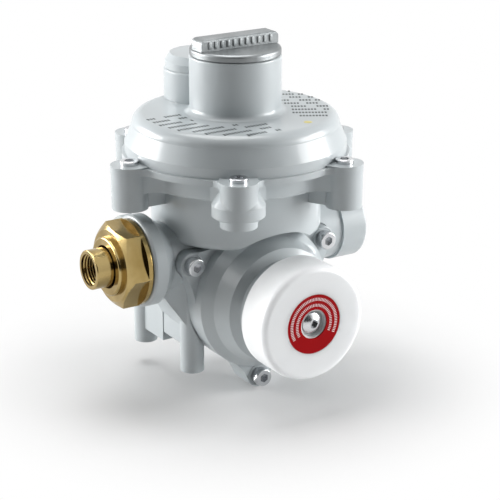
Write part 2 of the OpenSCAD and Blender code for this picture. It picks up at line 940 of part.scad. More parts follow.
module front_diaphragm() color(RUBBER)
    on_drum(drum_face_y)
        difference() {
            cylinder(r = front_recess_r - disc_room, h = front_diaphragm_t - rest_gap);
            translate([0, 0, -1])
                cylinder(r = spindle_r + 2.5, h = front_diaphragm_t + 2);
        }

module front_plate() color(STEEL)
    on_drum(front_y + rest_gap)
        difference() {
            union() {
                cylinder(r = front_plate_r, h = plate_t);
                cylinder(r = front_hub_r, h = front_hub_len);
                translate([0, 0, -front_spigot])
                    cylinder(r = front_spigot_r, h = front_spigot + eps);
            }
            translate([0, 0, -front_spigot - 1])
                cylinder(r = spindle_r + run_gap, h = front_spigot + front_hub_len + 2);
        }

module slam_seat() color(BRASS)
    on_drum(-seat_back_y - slam_spigot)
        difference() {
            union() {
                cylinder(r = seat_bore_r - thread_gap, h = slam_spigot + slam_seat_t);
                translate([0, 0, slam_spigot + rest_gap])
                    cylinder(r = slam_seat_r, h = slam_seat_t - rest_gap);
            }
            translate([0, 0, -1])
                cylinder(r = slam_hole_r, h = slam_spigot + slam_seat_t + 2);
        }

module slam_pad() color(RUBBER)
    on_drum(slam_y)
        cylinder(r = slam_pad_r, h = slam_pad_t);

module slam_disc() color(STEEL)
    on_drum(slam_y + slam_pad_t)
        difference() {
            union() {
                cylinder(r = slam_disc_r, h = slam_disc_t);
                cylinder(r = slam_hub_r, h = slam_hub_len);
            }
            translate([0, 0, -1])
                cylinder(r = spindle_r + rest_gap, h = slam_hub_len + 2);
        }

module reset_spindle() color(STEEL)
    on_drum(slam_y + slam_pad_t + stack_gap)
        difference() {
            cylinder(r = spindle_r, h = knob_in_y - slam_y - slam_pad_t - 2 * stack_gap);
            translate([0, 0, knob_in_y - slam_y - slam_pad_t - knob_shank_len - 2])
                cylinder(r = screw_r, h = knob_shank_len + 3);
        }

// ---------- Reset knob ----------

module reset_knob() color(WHITE)
    on_drum(knob_face_y - knob_len)
        difference() {
            rotate_extrude()
                difference() {
                    square([knob_r, knob_len]);
                    translate([knob_r, knob_len])
                        corner_cut(knob_edge_r);
                    // hollow of the skirt, softened where it meets the front
                    difference() {
                        translate([-1, -1])
                            square([knob_r - knob_wall + 1, knob_len - knob_front_t + 1]);
                        translate([knob_r - knob_wall, knob_len - knob_front_t])
                            corner_cut(skirt_fillet);
                    }
                }
            // rebate of the red disc
            translate([0, 0, knob_len - label_t - disc_room])
                cylinder(r = label_r + disc_room, h = 1 + label_t);
            translate([0, 0, knob_len - knob_recess])
                cylinder(r = knob_well_r, h = knob_recess + 1);
            translate([0, 0, knob_len - knob_front_t - 1])
                cylinder(r = knob_hole_r, h = knob_front_t + 2);
        }

module knob_label() color(RED)
    on_drum(knob_face_y - label_t - disc_room + rest_gap)
        difference() {
            cylinder(r = label_r, h = label_t);
            translate([0, 0, -1])
                cylinder(r = label_hole_r, h = label_t + 2);
        }

module knob_screw() color(STEEL)
    on_drum(knob_face_y - knob_recess + rest_gap)
        difference() {
            union() {
                rotate_extrude()
                    intersection() {
                        square([knob_head_r, knob_recess]);
                        translate([0, knob_recess - knob_dome_r])
                            circle(knob_dome_r);
                    }
                translate([0, 0, -knob_shank_len])
                    cylinder(r = knob_shank_r, h = knob_shank_len + eps);
            }
            translate([0, 0, knob_recess * 0.27])
                hex(socket_af, knob_recess);
        }

// ---------- Inlet union ----------

module inlet_spud() color(BRASS)
    on_port(-1, inlet_x - spud_grip)
        difference() {
            cylinder(r = union_thread_r - thread_gap, h = spud_x - inlet_x + spud_grip);
            translate([0, 0, -1])
                cylinder(r = passage_r, h = spud_x);
        }

module union_gasket() color(RUBBER)
    on_port(-1, spud_x + rest_gap)
        difference() {
            cylinder(r = tail_collar_r - 2 * disc_room, h = gasket_t - 2 * rest_gap);
            translate([0, 0, -1])
                cylinder(r = passage_r, h = gasket_t + 2);
        }

module union_tail() color(BRASS)
    on_port(-1, gasket_x)
        difference() {
            union() {
                cylinder(r = tail_collar_r, h = tail_collar_t);
                rotate_extrude()
                    difference() {
                        square([tail_r, tail_len]);
                        translate([tail_r, tail_len])
                            corner_cut(tail_edge);
                    }
            }
            translate([0, 0, -1])
                cylinder(r = tail_bore_r, h = tail_len + 2);
        }

// Hexagon with turned-down corners at both ends
module nut_blank(af, h) {
    corner = af / cos(30) / 2;
    intersection() {
        hex(af, h);
        rotate_extrude()
            polygon([
                [0, 0], [corner - nut_drop, 0], [corner, nut_drop * 0.58], [corner, h - nut_chamfer_h],
                [nut_face_r, h], [0, h]
            ]);
    }
}

module union_nut() color(BRASS)
    on_port(-1, nut_in_x)
        difference() {
            union() {
                rotate(nut_turn)
                    nut_blank(nut_af, nut_x - nut_in_x);
                rotate_extrude()
                    difference() {
                        square([nut_collar_r, nut_collar_h]);
                        translate([nut_collar_r, 0])
                            mirror([0, 1])
                                corner_cut(nut_collar_edge);
                    }
                rotate_extrude()
                    difference() {
                        square([nut_ring_r, nut_x - nut_in_x + nut_ring_h]);
                        translate([nut_ring_r, nut_x - nut_in_x + nut_ring_h])
                            corner_cut(nut_ring_edge);
                    }
            }
            translate([0, 0, -1])
                cylinder(r = union_thread_r, h = gasket_x + tail_collar_t + 2 * stack_gap - nut_in_x + 1);
            translate([0, 0, -1])
                cylinder(r = tail_r + nut_room, h = nut_x - nut_in_x + nut_ring_h + 2);
        }

// ---------- Diaphragm, lever and nozzle ----------

module main_diaphragm() color(RUBBER)
    translate([0, 0, joint_z])
        difference() {
            rotate_extrude() {
                square([roll_in_r, diaphragm_t]);
                translate([roll_out_r, 0])
                    square([recess_r - disc_room - roll_out_r, diaphragm_t]);
                // the rolled part that lets the middle rise and fall
                intersection() {
                    translate([roll_in_r - 1, 0])
                        square([roll_out_r - roll_in_r + 2, roll_out_r]);
                    translate([(roll_in_r + roll_out_r) / 2, 0])
                        difference() {
                            circle((roll_out_r - roll_in_r + diaphragm_t) / 2);
                            circle((roll_out_r - roll_in_r - diaphragm_t) / 2);
                        }
                }
            }
            translate([0, 0, -1])
                cylinder(r = stem_r + run_gap, h = diaphragm_t + 2);
        }

// A pressed plate with a turned edge that stiffens it
module plate(z, r, up) {
    translate([0, 0, z])
        mirror([0, 0, up ? 0 : 1])
            difference() {
                cylinder(r = r, h = plate_t + plate_turn);
                translate([0, 0, plate_t])
                    cylinder(r = r - plate_t, h = plate_turn + 1);
                translate([0, 0, -1])
                    cylinder(r = stem_r + run_gap, h = plate_t + 2);
            }
}

module plate_upper() color(STEEL) plate(cover_z + rest_gap, plate_r, true);
module plate_lower() color(STEEL) plate(joint_z - rest_gap, plate_r - 1, false);

module stem() color(BRASS) {
    translate([0, 0, tip_z - tip_gap - stem_foot_t]) {
        cylinder(r = stem_collar_r, h = stem_foot_t);
        cylinder(r = stem_r, h = stem_top_z - tip_z + tip_gap + stem_foot_t);
    }
    translate([0, 0, tip_z + tip_gap])
        cylinder(r = stem_collar_r, h = joint_z - plate_t - stack_gap - tip_z - tip_gap);
}

module stem_nut() color(STEEL)
    translate([0, 0, cover_z + plate_t + stack_gap])
        difference() {
            hex(stem_nut_af, stem_nut_h);
            translate([0, 0, -1])
                cylinder(r = stem_r + rest_gap, h = stem_nut_h + 2);
        }

// Drawn level, then tipped about its pin so that its fork is at the bottom of its travel
module on_lever() {
    translate([0, lever_stem_arm, pin_z])
        rotate([lever_rest, 0, 0])
            children();
}

module valve_lever() color(STEEL)
    on_lever()
        difference() {
            union() {
                translate([-prong_out_x, 0, 0])
                    rotate([0, 90, 0])
                        cylinder(r = lever_hub_r, h = 2 * prong_out_x);
                for (side = [-1, 1])
                    translate([side * (prong_x + prong_w / 2) - prong_w / 2, -lever_stem_arm, -lever_t / 2]) {
                        cube([prong_w, lever_stem_arm, lever_t]);
                        translate([0, 0, lever_t / 2])
                            rotate([0, 90, 0])
                                cylinder(r = tip_r, h = prong_w);
                    }
                translate([-prong_out_x, 0, -lever_t / 2])
                    cube([2 * prong_out_x, lever_pad_arm, lever_t]);
                translate([0, lever_pad_arm, -lever_t / 2])
                    cylinder(r = prong_out_x, h = lever_t);
            }
            translate([-prong_out_x - 1, 0, 0])
                rotate([0, 90, 0])
                    cylinder(r = pin_r + run_gap, h = 2 * prong_out_x + 2);
        }

module valve_pad() color(RUBBER)
    on_lever()
        translate([0, lever_pad_arm, -lever_t / 2 - pad_t])
            cylinder(r = valve_pad_r, h = pad_t - rest_gap);

module lever_pin() color(STEEL)
    translate([-pin_len / 2, lever_stem_arm, pin_z])
        rotate([0, 90, 0])
            cylinder(r = pin_r - rest_gap, h = pin_len);

module nozzle() color(BRASS)
    translate([0, riser_y, floor_z])
        difference() {
            union() {
                translate([0, 0, -nozzle_thread_len + 0.1])
                    cylinder(r = nozzle_thread_r - thread_gap, h = nozzle_thread_len);
                translate([0, 0, rest_gap])
                    hex(nozzle_hex_af, nozzle_hex_h);
                translate([0, 0, nozzle_hex_h])
                    cylinder(r1 = riser_bore_r, r2 = nozzle_tip_r, h = nozzle_h - nozzle_hex_h);
            }
            translate([0, 0, -nozzle_thread_len - 1])
                cylinder(r = nozzle_bore_r, h = nozzle_h + nozzle_thread_len + 2);
        }

// ---------- Spring, adjuster and plug ----------

SPRING_SIDES = 6;
SPRING_RINGS = 8;
spring_guide_r = (spring_r - wire_r) * cos(180 / SPRING_RINGS) - move_gap;
guide_len = 4;
guide_bore_r = 6;
adjuster_af = 12;
adjuster_floor = 1;
seal_in_r = tower_bore_r + 0.4;
seal_out_r = tower_bore_r + 2.6;
plug_wall = 3;
plug_edge = 1.4;
bar_edge = 1.2;

// Centre line of the main spring, one unbroken tube with a closed turn at each end
spring_pts = let(
    turns = coils + 2,
    n = turns * SPRING_RINGS,
    low = spring_z0 + wire_r,
    high = seat_z - wire_r - end_gap,
    end_rise = 2 * wire_r + 0.5,
    pitch = (high - low - 2 * end_rise) / coils
) [
    for (i = [0:n])
        let(
            t = i / SPRING_RINGS,
            z = t < 1 ? low + end_rise * t
                : t > turns - 1 ? high - end_rise * (turns - t)
                : low + end_rise + pitch * (t - 1)
        )
            [spring_r * cos(360 * t), spring_r * sin(360 * t), z]
];

// Least gap between one turn's surface and the next
spring_gap = min([
    for (i = [0:len(spring_pts) - 1 - SPRING_RINGS])
        norm(spring_pts[i + SPRING_RINGS] - spring_pts[i]) - 2 * wire_r
]);
echo(spring_gap = spring_gap);

// A tube of SPRING_SIDES sides swept along pts, whose rings stand in planes through the axis
module coil_tube(pts, r) {
    n = len(pts);
    m = SPRING_SIDES;
    ring = [
        for (i = [0:n - 1], k = [0:m - 1])
            let(out = [cos(360 * i / SPRING_RINGS), sin(360 * i / SPRING_RINGS), 0])
                pts[i] + out * r * cos(360 * k / m) + [0, 0, r * sin(360 * k / m)]
    ];
    sides = [
        for (i = [0:n - 2], k = [0:m - 1], half = [0, 1])
            let(a = i * m + k, b = i * m + (k + 1) % m)
                half == 0 ? [a, a + m, b] : [b, a + m, b + m]
    ];
    caps = [
        for (k = [1:m - 2], tail = [0, 1])
            tail == 0 ? [0, k, k + 1] : [(n - 1) * m, (n - 1) * m + k + 1, (n - 1) * m + k]
    ];
    polyhedron(ring, concat(sides, caps));
}

module main_spring() color(STEEL) coil_tube(spring_pts, wire_r);

module spring_seat() color(STEEL)
    translate([0, 0, seat_z])
        difference() {
            union() {
                cylinder(r = tower_bore_r - move_gap, h = seat_t);
                translate([0, 0, -guide_len])
                    cylinder(r = spring_guide_r, h = guide_len + eps);
            }
            translate([0, 0, -guide_len - 1])
                cylinder(r = guide_bore_r, h = guide_len + seat_t);
        }

module adjuster() color(BRASS)
    translate([0, 0, seat_z + seat_t + stack_gap])
        difference() {
            cylinder(r = tower_bore_r - thread_gap, h = adjuster_t);
            translate([0, 0, adjuster_floor])
                hex(adjuster_af, adjuster_t);
        }

module plug_seal() color(RUBBER)
    translate([0, 0, tower_z + rest_gap])
        difference() {
            cylinder(r = seal_out_r, h = seal_t - 2 * rest_gap);
            translate([0, 0, -1])
                cylinder(r = seal_in_r, h = seal_t + 2);
        }

// Grip bar across the plug, with rounded ends and a softened top
module grip_bar() {
    intersection() {
        cylinder(r = plug_r - 2 * disc_room, h = bar_h);
        rotate([90, 0, 0])
            translate([0, 0, -bar_t])
                linear_extrude(2 * bar_t)
                    difference() {
                        translate([-bar_len / 2, 0])
                            square([bar_len, bar_h]);
                        for (side = [0, 1])
                            mirror([side, 0])
                                translate([bar_len / 2, bar_h])
                                    corner_cut(bar_end_r);
                    }
        rotate([90, 0, 90])
            translate([0, 0, -bar_len / 2])
                linear_extrude(bar_len)
                    difference() {
                        translate([-bar_t / 2, 0])
                            square([bar_t, bar_h]);
                        for (side = [0, 1])
                            mirror([side, 0])
                                translate([bar_t / 2, bar_h])
                                    corner_cut(bar_edge);
                    }
    }
}

module top_plug() color(CAST)
    translate([0, 0, plug_z])
        difference() {
            union() {
                rotate_extrude()
                    difference() {
                        square([plug_r, plug_t]);
                        translate([plug_r, plug_t])
                            corner_cut(plug_edge);
                    }
                translate([0, 0, plug_t - eps])
                    grip_bar();
                translate([0, 0, -skirt_len])
                    cylinder(r = tower_bore_r - thread_gap, h = skirt_len + eps);
            }
            translate([0, 0, -skirt_len - 1])
                cylinder(r = tower_bore_r - plug_wall, h = skirt_len);
            // groove of the seal
            translate([0, 0, -1])
                difference() {
                    cylinder(r = seal_out_r + disc_room, h = 1 + seal_t - seal_proud);
                    translate([0, 0, -1])
                        cylinder(r = seal_in_r - disc_room, h = 3 + seal_t);
                }
        }

// ---------- Screws ----------

// Screw with a head above the origin and a shank below it
module screw(r, len, hr, hh, af) {
    difference() {
        union() {
            rotate_extrude()
                difference() {
                    square([hr, hh]);
                    translate([hr, hh])
                        corner_cut(head_edge);
                }
            translate([0, 0, -len])
                cylinder(r = r, h = len + eps);
        }
        translate([0, 0, hh * 0.4])
            hex(af, hh);
    }
}

module cover_screw(i) color(STEEL)
    rotate([0, 0, ear_angles[i - 1]])
        translate([0, -ear_pcd_r, joint_z + cover_ear_h + rest_gap])
            screw(screw_r - thread_gap, cover_screw_len, head_r, low_head_h, socket_af);

module front_screw(i) color(STEEL)
    on_drum(front_y + front_flange_t + rest_gap)
        rotate(lug_angles[i - 1])
            translate([lug_pcd_r, 0, 0])
                screw(screw_r - thread_gap, front_screw_len, head_r, head_h, socket_af);

lower_body();
upper_cover();
front_cover();
inlet_spud();
union_gasket();
union_tail();
union_nut();
nozzle();
lever_pin();
vent_cap();
vent_screen();
spindle_bush();
slam_seat();
main_diaphragm();
front_diaphragm();
front_plate();
main_spring();
plate_upper();
plate_lower();
stem();
stem_nut();
valve_lever();
valve_pad();
reset_spindle();
slam_disc();
slam_pad();
reset_knob();
knob_label();
knob_screw();
plug_seal();
top_plug();
spring_seat();
adjuster();
cover_screw(1);  // cover_screw_1
cover_screw(2);  // cover_screw_2
cover_screw(3);  // cover_screw_3
cover_screw(4);  // cover_screw_4
cover_screw(5);  // cover_screw_5
cover_screw(6);  // cover_screw_6
front_screw(1);  // front_screw_1
front_screw(2);  // front_screw_2
front_screw(3);  // front_screw_3
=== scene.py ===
# %% [markdown]
# # A painted gas regulator with a brass union and a reset knob
# The solid model comes first, as a fixed frame. Everything here dresses that frame: paint, brass,
# plastic, rubber and steel, and the fine trim that is too small to be worth a solid of its own.

# %% Load the frame and keep its box
import json
import math

import bmesh
import bpy
import numpy as np
from mathutils import Matrix, Vector


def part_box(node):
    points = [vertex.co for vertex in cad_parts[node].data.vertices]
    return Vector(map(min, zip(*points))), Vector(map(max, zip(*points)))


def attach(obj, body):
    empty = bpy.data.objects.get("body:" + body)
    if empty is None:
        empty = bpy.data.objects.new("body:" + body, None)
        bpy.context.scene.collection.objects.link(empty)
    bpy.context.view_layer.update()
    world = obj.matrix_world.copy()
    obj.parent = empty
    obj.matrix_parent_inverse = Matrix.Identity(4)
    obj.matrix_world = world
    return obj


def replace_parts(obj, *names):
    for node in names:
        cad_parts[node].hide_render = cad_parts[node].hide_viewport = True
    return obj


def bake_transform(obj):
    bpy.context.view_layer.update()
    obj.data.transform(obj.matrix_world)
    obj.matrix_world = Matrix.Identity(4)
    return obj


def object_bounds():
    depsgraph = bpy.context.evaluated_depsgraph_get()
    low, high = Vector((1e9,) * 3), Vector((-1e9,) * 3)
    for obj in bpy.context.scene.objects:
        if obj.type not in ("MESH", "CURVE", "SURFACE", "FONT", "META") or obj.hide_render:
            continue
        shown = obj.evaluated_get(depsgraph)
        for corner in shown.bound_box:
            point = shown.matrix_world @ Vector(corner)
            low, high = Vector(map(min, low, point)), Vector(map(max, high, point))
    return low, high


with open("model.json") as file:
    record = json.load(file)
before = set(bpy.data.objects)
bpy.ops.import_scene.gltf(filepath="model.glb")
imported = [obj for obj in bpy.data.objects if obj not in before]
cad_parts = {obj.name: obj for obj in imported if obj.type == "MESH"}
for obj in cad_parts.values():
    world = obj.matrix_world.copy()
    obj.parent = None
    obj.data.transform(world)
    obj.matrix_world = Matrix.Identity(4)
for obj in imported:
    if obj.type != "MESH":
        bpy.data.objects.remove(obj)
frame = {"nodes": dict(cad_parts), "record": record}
nodes = frame["nodes"]
cad_low, cad_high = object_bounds()
print("solids", len(nodes), "box", tuple(cad_low), tuple(cad_high))

# %% [markdown]
# ## Camera
# A long lens from the front left and a little above shows the knob, the union and the domed cover
# at once. The three axes of the camera are written out, so it isn't aimed at anything by a
# constraint and stays where it is.

# %% Camera
eye = Vector((-0.417525, -0.685294, 0.332104))
right = Vector((0.84953, -0.52753, 0.0))
up = Vector((0.17403, 0.28025, 0.94402))
back = Vector((-0.49800, -0.80198, 0.32989))
lens_data = bpy.data.cameras.new("camera")
lens_data.lens = 126.69
lens_data.sensor_width = 36.0
lens_data.clip_start = 0.01
camera = bpy.data.objects.new("camera", lens_data)
camera.matrix_world = Matrix((
    (right.x, up.x, back.x, eye.x),
    (right.y, up.y, back.y, eye.y),
    (right.z, up.z, back.z, eye.z),
    (0, 0, 0, 1),
))
bpy.context.collection.objects.link(camera)
bpy.context.scene.camera = camera
print("camera stands", round(eye.length, 3), "m from the origin")

# %% [markdown]
# ## Node groups
# Cast metal under paint isn't smooth: it has the fine pebble of the mould and a slower waviness.
# Most finishes need it, so it is a group with named inputs. A second group gives the soft, uneven
# stain of handling that every finish here shows a little.

# %% Group helpers
def group_with(name, inputs, outputs):
    """An empty shader node group with float inputs {name: value} and outputs [(name, type)]."""
    tree = bpy.data.node_groups.new(name, "ShaderNodeTree")
    for label, value in inputs.items():
        socket = tree.interface.new_socket(label, in_out="INPUT", socket_type="NodeSocketFloat")
        socket.default_value = value
    for label, kind in outputs:
        tree.interface.new_socket(label, in_out="OUTPUT", socket_type=kind)
    return tree, tree.nodes.new("NodeGroupInput"), tree.nodes.new("NodeGroupOutput")


def noise_on_object(tree, detail):
    """A noise texture that reads Object coordinates, so its pattern stays with the mesh."""
    coord = tree.nodes.new("ShaderNodeTexCoord")
    noise = tree.nodes.new("ShaderNodeTexNoise")
    noise.inputs["Detail"].default_value = detail
    tree.links.new(coord.outputs["Object"], noise.inputs["Vector"])
    return noise


# %% Cast skin: fine pebble added to slow waves
skin, skin_in, skin_out = group_with(
    "cast_skin", {"Pebble scale": 2600.0, "Wave scale": 90.0, "Wave share": 0.15},
    [("Height", "NodeSocketFloat")])
pebble = noise_on_object(skin, 3.0)
wave = noise_on_object(skin, 1.0)
blend_heights = skin.nodes.new("ShaderNodeMix")
skin.links.new(skin_in.outputs["Pebble scale"], pebble.inputs["Scale"])
skin.links.new(skin_in.outputs["Wave scale"], wave.inputs["Scale"])
skin.links.new(skin_in.outputs["Wave share"], blend_heights.inputs["Factor"])
skin.links.new(pebble.outputs["Fac"], blend_heights.inputs["A"])
skin.links.new(wave.outputs["Fac"], blend_heights.inputs["B"])
skin.links.new(blend_heights.outputs["Result"], skin_out.inputs["Height"])
print("cast skin group has", len(skin.nodes), "nodes")

# %% Handling: a soft mask between a low and a high value
handling, handling_in, handling_out = group_with(
    "handling", {"Scale": 120.0, "Low": 0.3, "High": 0.45}, [("Value", "NodeSocketFloat")])
smear = noise_on_object(handling, 6.0)
remap = handling.nodes.new("ShaderNodeMapRange")
remap.inputs["From Min"].default_value = 0.3
remap.inputs["From Max"].default_value = 0.7
handling.links.new(handling_in.outputs["Scale"], smear.inputs["Scale"])
handling.links.new(handling_in.outputs["Low"], remap.inputs["To Min"])
handling.links.new(handling_in.outputs["High"], remap.inputs["To Max"])
handling.links.new(smear.outputs["Fac"], remap.inputs["Value"])
handling.links.new(remap.outputs["Result"], handling_out.inputs["Value"])
print("handling group has", len(handling.nodes), "nodes")

# %% [markdown]
# ## Finishes
# Each finish is one Principled shader. The two colours of a finish are close together and are
# mixed by slow noise, because no real surface is one flat colour. Roughness comes from the
# handling group and the small relief from the cast skin group. Two finishes need a little more:
# the knob's milky plastic lets light in, and the red disc hardly mirrors anything.

# %% One function builds a finish
def finish(name, colours, rough, metallic=0.0, coat=0.0, relief=0.0, pebble_scale=2600.0,
           tint_scale=60.0, smear_scale=120.0):
    """A Principled material: colour = mix of two by noise, roughness = low..high by handling,
    normal = bump of the cast skin's height."""
    material = bpy.data.materials.new(name)
    material.use_nodes = True
    tree = material.node_tree
    shader = tree.nodes["Principled BSDF"]
    tint = noise_on_object(tree, 3.0)
    tint.inputs["Scale"].default_value = tint_scale
    ramp = tree.nodes.new("ShaderNodeValToRGB")
    ramp.color_ramp.elements[0].position = 0.35
    ramp.color_ramp.elements[1].position = 0.65
    for element, colour in zip(ramp.color_ramp.elements, colours):
        element.color = (*colour, 1.0)
    tree.links.new(tint.outputs["Fac"], ramp.inputs["Fac"])
    tree.links.new(ramp.outputs["Color"], shader.inputs["Base Color"])
    hand = tree.nodes.new("ShaderNodeGroup")
    hand.node_tree = handling
    hand.inputs["Scale"].default_value = smear_scale
    hand.inputs["Low"].default_value, hand.inputs["High"].default_value = rough
    tree.links.new(hand.outputs["Value"], shader.inputs["Roughness"])
    shader.inputs["Metallic"].default_value = metallic
    shader.inputs["Coat Weight"].default_value = coat
    shader.inputs["Coat Roughness"].default_value = 0.08
    if relief:
        cast = tree.nodes.new("ShaderNodeGroup")
        cast.node_tree = skin
        cast.inputs["Pebble scale"].default_value = pebble_scale
        bump = tree.nodes.new("ShaderNodeBump")
        bump.inputs["Strength"].default_value = relief
        bump.inputs["Distance"].default_value = 0.0002
        tree.links.new(cast.outputs["Height"], bump.inputs["Height"])
        tree.links.new(bump.outputs["Normal"], shader.inputs["Normal"])
    return material


# %% The finishes
paint = finish("gloss_paint", [(0.465, 0.505, 0.520), (0.480, 0.520, 0.535)], (0.30, 0.34),
               coat=0.30, relief=0.04)
knob_plastic = finish("knob_plastic", [(0.79, 0.805, 0.815), (0.81, 0.825, 0.835)], (0.34, 0.44),
                      relief=0.06, pebble_scale=4200.0)
milky = knob_plastic.node_tree.nodes["Principled BSDF"]
milky.inputs["Subsurface Weight"].default_value = 0.8
milky.inputs["Subsurface Radius"].default_value = (1.0, 1.0, 1.0)
milky.inputs["Subsurface Scale"].default_value = 0.006
brass = finish("turned_brass", [(0.32, 0.225, 0.080), (0.46, 0.345, 0.150)], (0.12, 0.26),
               metallic=1.0, relief=0.05)
steel = finish("bright_steel", [(0.55, 0.56, 0.58), (0.68, 0.69, 0.70)], (0.16, 0.28),
               metallic=1.0, relief=0.05)
plug_metal = finish("plug_metal", [(0.20, 0.215, 0.22), (0.30, 0.315, 0.32)], (0.30, 0.46),
                    metallic=0.85, relief=0.5)
rubber = finish("seal_rubber", [(0.018, 0.018, 0.018), (0.030, 0.030, 0.030)], (0.60, 0.75),
                relief=0.2)
label_red = finish("label_red", [(0.30, 0.002, 0.004), (0.34, 0.003, 0.005)], (0.50, 0.60))
label_red.node_tree.nodes["Principled BSDF"].inputs["Specular IOR Level"].default_value = 0.06
stroke_white = finish("stroke_white", [(0.80, 0.74, 0.74), (0.84, 0.80, 0.80)], (0.45, 0.55))
stroke_dark = finish("stroke_dark", [(0.030, 0.040, 0.042), (0.045, 0.055, 0.058)], (0.50, 0.60))
dot_yellow = finish("dot_yellow", [(0.62, 0.55, 0.20), (0.68, 0.60, 0.24)], (0.45, 0.55))
print("finishes", sorted(material.name for material in bpy.data.materials))

# %% [markdown]
# ## Which finish goes where
# The record says which material slot each solid belongs to, so the table below is all it takes.

# %% Dress every solid
by_slot = {"paint": paint, "knob_plastic": knob_plastic, "brass": brass, "steel": steel,
           "plug_cast": plug_metal, "rubber": rubber, "label_red": label_red}
for row in frame["record"]["subparts"]:
    solid = nodes[row["node"]]
    solid.data.materials.clear()
    solid.data.materials.append(by_slot[row["material_slot"]])

# %% [markdown]
# ## Fine trim as surfaces of two numbers
# Threads, grip ribs, knurls and printed strokes are too fine for the solids. Each could be
# modelled by hand, but all of them are surfaces that a short formula describes, so they are
# worked out as whole arrays of points and handed to the mesh in one go. All lengths are in metres.

# %% A grid of points becomes a closed mesh
def grid_quads(rows, cols, wrap_rows=False, wrap_cols=True):
    """Cell (i, j) is the quad (i, j), (i + 1, j), (i + 1, j + 1), (i, j + 1). Where a direction
    wraps, the index after its last one is 0."""
    i, j = np.meshgrid(np.arange(rows if wrap_rows else rows - 1),
                       np.arange(cols if wrap_cols else cols - 1), indexing="ij")
    low, high, on = i * cols, ((i + 1) % rows) * cols, (j + 1) % cols
    return np.stack([low + j, high + j, high + on, low + on], axis=-1).reshape(-1, 4).tolist()


def skin_grid(name, points, body, material, wrap_rows=False, caps=True):
    """points[i, j] is a grid whose j wraps round. The first and last rows are closed by a flat cap
    unless i wraps too, or unless they are poles, which need none."""
    rows, cols = points.shape[:2]
    faces = grid_quads(rows, cols, wrap_rows)
    if caps and not wrap_rows:
        faces += [list(range(cols)), list(range((rows - 1) * cols, rows * cols))]
    return add_piece(name, points.reshape(-1, 3), faces, body, material)


def add_piece(name, verts, faces, body, material):
    """One smooth-shaded piece from vertices and faces, merged and turned outwards. It rides on
    body where body is a name; for (body, body, start, end) it only has its transform baked in."""
    mesh = bpy.data.meshes.new(name)
    mesh.from_pydata(verts, [], faces)
    work = bmesh.new()
    work.from_mesh(mesh)
    bmesh.ops.remove_doubles(work, verts=work.verts, dist=1e-7)
    bmesh.ops.recalc_face_normals(work, faces=work.faces)
    work.to_mesh(mesh)
    work.free()
    mesh.polygons.foreach_set("use_smooth", np.ones(len(mesh.polygons), dtype=bool))
    mesh.set_sharp_from_angle(angle=math.radians(40))
    mesh.materials.append(material)
    piece = bpy.data.objects.new(name, mesh)
    bpy.context.collection.objects.link(piece)
    if isinstance(body, str):
        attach(piece, body)
    else:
        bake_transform(piece)
    print(name, len(mesh.vertices), "vertices on", body)
    return piece


# %% [markdown]
# ## Threads
# A thread is one ridge wound along a bore. The solids hold plain bores, so the ridge is a small
# trapezium carried along a helix, which sinks into the wall and fades out at both ends.

# %% A ridge along a helix
def wound_ridge(start, axis, radius, depth, pitch, length, per_turn=48, fade_turns=0.8):
    """p(t, s) = start + axis * pitch * (t + a(s)) + out(t) * (radius - depth * fade(t) * h(s)),
    with t in turns, out turning once per turn, (a, h) the six corners of the ridge, and fade
    rising from 0 to 1 over the first fade_turns and falling over the last. Corners with h below 0
    lie in the wall, and don't fade."""
    start, axis = np.asarray(start, float), np.asarray(axis, float)
    side = np.cross(axis, [0.0, 0.0, 1.0] if abs(axis[2]) < 0.9 else [1.0, 0.0, 0.0])
    side /= np.linalg.norm(side)
    other = np.cross(axis, side)
    turns = length / pitch
    t = np.linspace(0.0, turns, int(turns * per_turn) + 1)[:, None]
    along = np.array([-0.46, -0.40, -0.10, 0.10, 0.40, 0.46])[None, :]
    height = np.array([-0.20, 0.0, 1.0, 1.0, 0.0, -0.20])[None, :]
    fade = np.clip(np.minimum(t, turns - t) / fade_turns, 0.0, 1.0)
    reach = radius - depth * np.where(height > 0, height * fade, height)
    out = np.cos(2 * np.pi * t)[..., None] * side + np.sin(2 * np.pi * t)[..., None] * other
    return start + axis * (pitch * (t + along))[..., None] + out * reach[..., None]


# %% The outlet, the union's tail and the four feet
port_z = 0.0565
outlet_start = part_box("lower_body")[1].x - 0.0012
skin_grid("outlet_thread",
          wound_ridge((outlet_start, 0, port_z), (-1, 0, 0), radius=0.01205, depth=0.0007,
                      pitch=0.001814, length=0.0150),
          "housing", paint)
tail_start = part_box("union_tail")[0].x + 0.0010
skin_grid("tail_thread",
          wound_ridge((tail_start, 0, port_z), (1, 0, 0), radius=0.0075, depth=0.00055,
                      pitch=0.001337, length=0.0120),
          "housing", brass)
foot_x, back_foot_y, front_foot_y, foot_start = 0.0308, 0.0360, -0.0102, 0.0008
for number, (x, y) in enumerate([(-foot_x, front_foot_y), (foot_x, front_foot_y),
                                 (-foot_x, back_foot_y), (foot_x, back_foot_y)], 1):
    skin_grid(f"foot_thread_{number}",
              wound_ridge((x, y, foot_start), (0, 0, 1), radius=0.0025, depth=0.00035,
                          pitch=0.0008, length=0.0100, per_turn=24),
              "housing", paint)

# %% [markdown]
# ## Grip ribs on the plug
# The bar across the plug is cast with raised ribs, so that a gloved finger holds it. A rib is a
# superellipsoid: a pillow whose power says how square its sides are. Half of it is sunk in the
# bar, and its poles lie along the rib's thickness.

